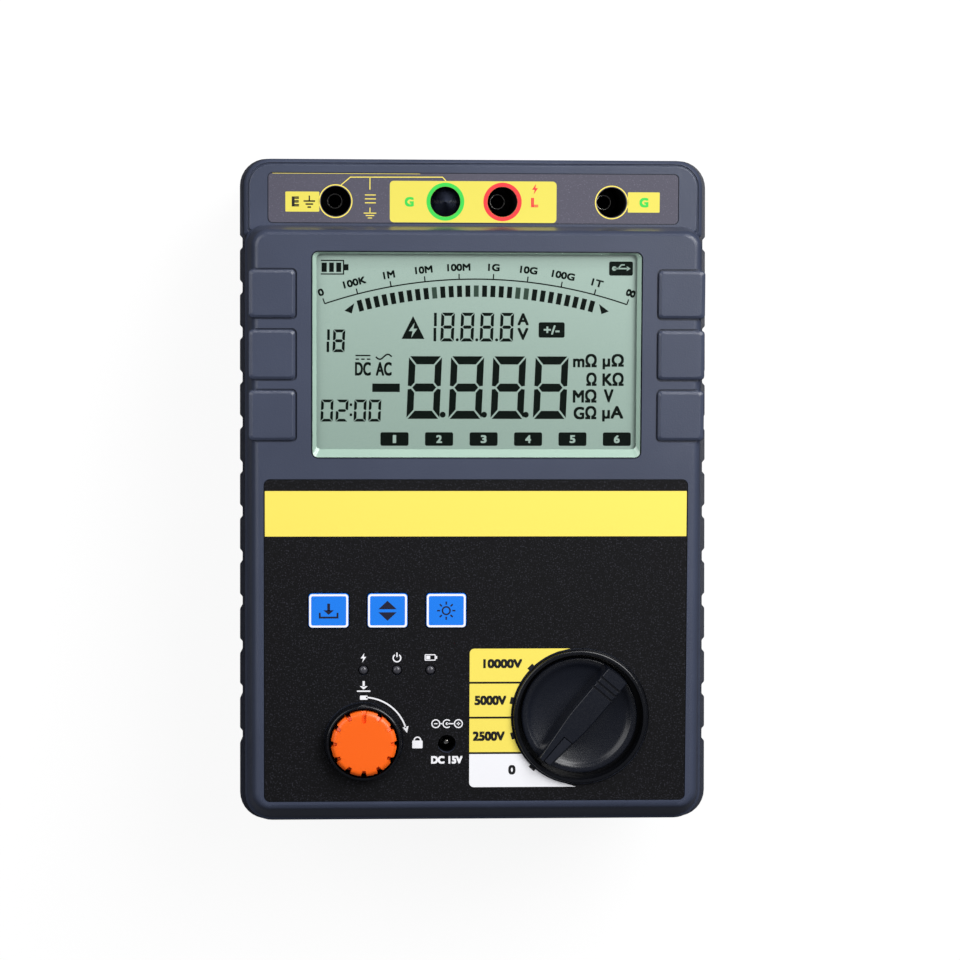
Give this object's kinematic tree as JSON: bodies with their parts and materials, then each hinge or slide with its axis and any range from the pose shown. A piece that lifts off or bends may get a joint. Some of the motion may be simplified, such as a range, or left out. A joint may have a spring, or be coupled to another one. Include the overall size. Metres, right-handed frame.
{
  "type": "insulation resistance tester",
  "caption": "Portable insulation tester lying on its back: LCD face, membrane keys, fluted test button, rotary range knob, recessed lead sockets and ribbed sides.",
  "frame": {"origin": "centre of the bounding box's underside, on the surface that the four feet stand on", "axes": "+Y along the case from the controls to the lead sockets, +Z out of the face, +X to the knob's side as the face is read"},
  "size_m": [0.1552, 0.2188, 0.0885],
  "materials": {
    "charcoal_abs": "moulded, satin, blue-grey",
    "black_abs": "moulded, satin, navy-black",
    "seal_rubber": "moulded, matt",
    "black_film": "printed polyester film, fine speckle",
    "grey_film": "printed polyester film, fine speckle",
    "clear_acrylic": "cast, polished",
    "lcd_glass": "polarising film over glass, satin",
    "white_diffuser": "moulded, satin",
    "black_nylon": "moulded, satin",
    "amber_flex": "polyimide film",
    "circuit_board": "solder resist, satin",
    "nickel": "turned, plated",
    "steel": "zinc plated",
    "orange_abs": "moulded, satin",
    "blue_silicone": "moulded, printed",
    "phenolic": "laminate",
    "potting_resin": "cast",
    "battery_wrap": "shrink sleeve",
    "red_lens": "moulded, translucent",
    "green_lens": "moulded, translucent",
    "amber_lens": "moulded, translucent"
  },
  "bodies": {
    "case": {"battery_door": "black_abs", "battery_pack": "battery_wrap", "buzzer": "black_nylon", "case_screw_1": "steel", "case_screw_2": "steel", "case_screw_3": "steel", "case_screw_4": "steel", "case_seal": "seal_rubber", "contact_earth": "nickel", "contact_guard_left": "nickel", "contact_guard_right": "nickel", "contact_line": "nickel", "control_overlay": "black_film", "dc_jack": "black_nylon", "dc_jack_pin": "nickel", "display_frame": "black_nylon", "display_ribbon": "amber_flex", "display_window": "clear_acrylic", "door_screw_left": "steel", "door_screw_right": "steel", "foot_1": "seal_rubber", "foot_2": "seal_rubber", "foot_3": "seal_rubber", "foot_4": "seal_rubber", "front_cover": "charcoal_abs", "hv_module": "potting_resin", "key_board": "circuit_board", "key_dome_left": "steel", "key_dome_middle": "steel", "key_dome_right": "steel", "lcd_backlight": "white_diffuser", "lcd_panel": "lcd_glass", "led_left": "red_lens", "led_middle": "green_lens", "led_right": "amber_lens", "main_board": "circuit_board", "range_switch": "black_nylon", "rear_case": "black_abs", "socket_earth": "black_nylon", "socket_guard_left": "black_nylon", "socket_guard_right": "black_nylon", "socket_line": "black_nylon", "terminal_label": "grey_film", "test_spring": "steel", "test_switch": "black_nylon"},
    "button": {"test_plunger": "black_nylon"},
    "cap": {"test_cap": "orange_abs"},
    "range": {"range_knob": "charcoal_abs", "knob_pointer": "black_nylon", "range_shaft": "steel", "range_rotor": "phenolic"},
    "left_key": {"key_left": "blue_silicone"},
    "middle_key": {"key_middle": "blue_silicone"},
    "right_key": {"key_right": "blue_silicone"}
  },
  "joints": [
    {"name": "test_press", "type": "slide", "parent": "case", "child": "button", "axis": [0, 0, -1], "range_m": [0, 0.003], "stiffness_N_per_m": 400, "springref_m": -0.002, "deforming": ["test_spring"]},
    {"name": "test_lock_turn", "type": "hinge", "parent": "button", "child": "cap", "pos_m": [-0.0368, -0.0812, 0.0785], "axis": [0, 0, -1], "range_deg": [0, 72]},
    {"name": "range_turn", "type": "hinge", "parent": "case", "child": "range", "pos_m": [0.0345, -0.0733, 0.0764], "axis": [0, 0, -1], "range_deg": [0, 90]},
    {"name": "left_key_press", "type": "slide", "parent": "case", "child": "left_key", "axis": [0, 0, -1], "range_m": [0, 0.0005], "stiffness_N_per_m": 800, "springref_m": -0.0005},
    {"name": "middle_key_press", "type": "slide", "parent": "case", "child": "middle_key", "axis": [0, 0, -1], "range_m": [0, 0.0005], "stiffness_N_per_m": 800, "springref_m": -0.0005},
    {"name": "right_key_press", "type": "slide", "parent": "case", "child": "right_key", "axis": [0, 0, -1], "range_m": [0, 0.0005], "stiffness_N_per_m": 800, "springref_m": -0.0005}
  ]
}
